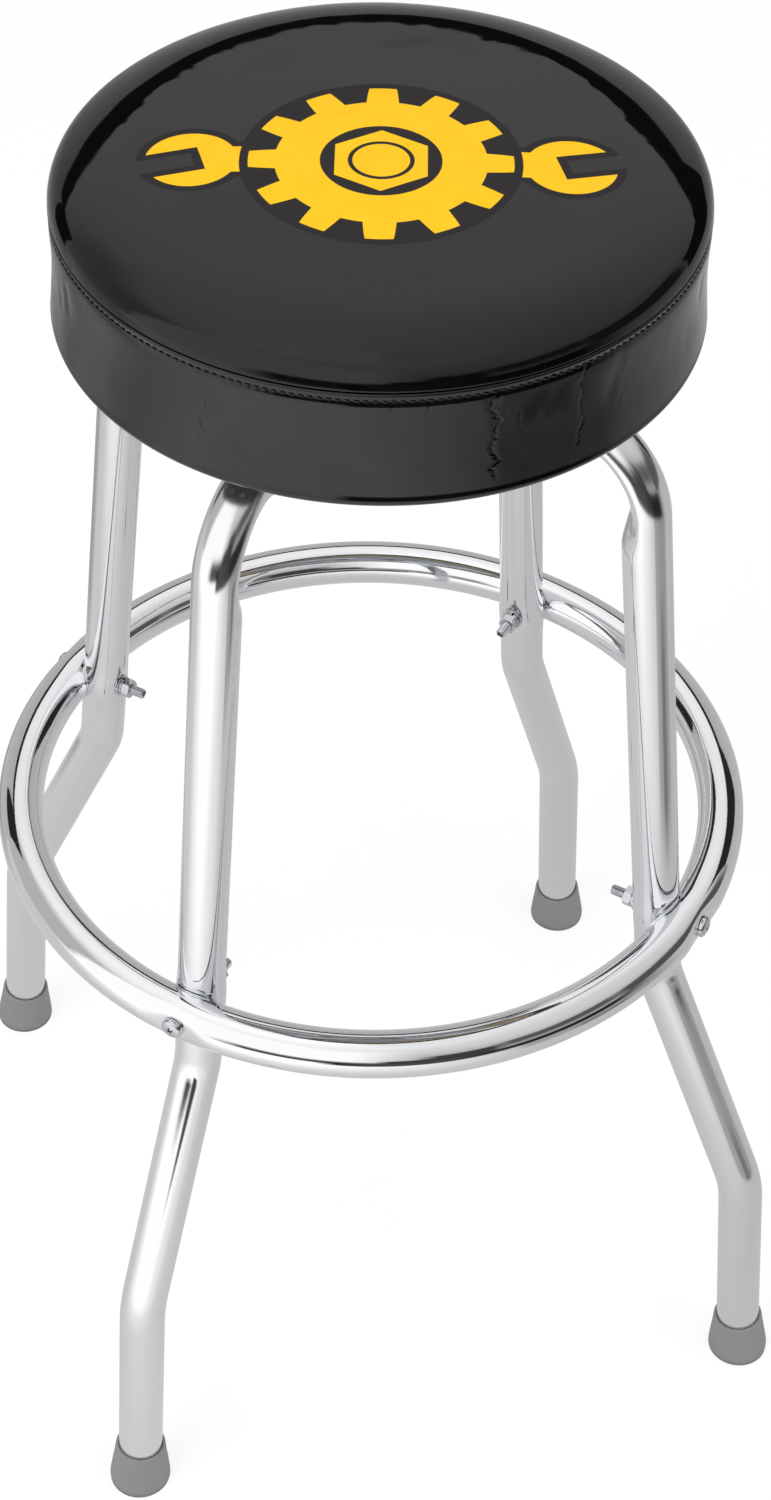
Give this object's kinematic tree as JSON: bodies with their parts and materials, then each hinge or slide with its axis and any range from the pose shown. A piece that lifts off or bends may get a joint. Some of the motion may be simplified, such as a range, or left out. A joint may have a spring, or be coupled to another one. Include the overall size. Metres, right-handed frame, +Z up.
{
  "type": "garage stool",
  "caption": "Round padded swivel stool on bent chromed tube legs tied by a foot ring, with rubber tips.",
  "frame": {"origin": "on the floor, under the centre of the seat and of the foot ring", "axes": "+Z up along the swivel axis, -Y towards the front, +X to the right seen from the front; the legs stand on the diagonals"},
  "size_m": [0.4203, 0.4202, 0.768],
  "materials": {
    "black_vinyl": "glossy coated vinyl, black",
    "black_thread": "twisted polyester thread, black",
    "foam": "cut polyurethane foam",
    "plywood": "raw plywood",
    "zinc_steel": "zinc plated",
    "bright_steel": "bright plated screws",
    "ball_steel": "polished bearing steel",
    "chrome_tube": "mirror chrome plate",
    "grey_rubber": "moulded grey rubber, matt"
  },
  "bodies": {
    "base": {"swivel_lower_plate": "zinc_steel", "swivel_rivet": "zinc_steel", "leg_front_left": "chrome_tube", "leg_front_right": "chrome_tube", "leg_rear_right": "chrome_tube", "leg_rear_left": "chrome_tube", "foot_ring": "chrome_tube", "leg_bolts": "zinc_steel", "leg_bolt_washers": "zinc_steel", "leg_bolt_nuts": "zinc_steel", "ring_screws": "bright_steel", "ring_washers": "bright_steel", "ring_lock_washers": "bright_steel", "ring_nuts": "bright_steel", "foot_tip_front_left": "grey_rubber", "foot_tip_front_right": "grey_rubber", "foot_tip_rear_right": "grey_rubber", "foot_tip_rear_left": "grey_rubber", "foot_tip_discs": "zinc_steel"},
    "seat": {"seat_top_vinyl": "black_vinyl", "seat_side_vinyl": "black_vinyl", "seat_stitching": "black_thread", "seat_foam": "foam", "seat_board": "plywood", "seat_staples": "zinc_steel", "seat_t_nuts": "zinc_steel", "seat_screws": "zinc_steel", "swivel_upper_plate": "zinc_steel"},
    "ball_cage": {"swivel_balls": "ball_steel", "swivel_ball_cage": "zinc_steel"}
  },
  "joints": [
    {"name": "seat_swivel", "type": "hinge", "parent": "base", "child": "seat", "pos_m": [0, 0, 0.67245], "axis": [0, 0, 1], "continuous": true},
    {"name": "cage_swivel", "type": "hinge", "parent": "base", "child": "ball_cage", "pos_m": [0, 0, 0.67245], "axis": [0, 0, 1], "continuous": true}
  ],
  "couplings": [
    {"joint": "cage_swivel", "follows": "seat_swivel", "ratio": 0.5}
  ]
}
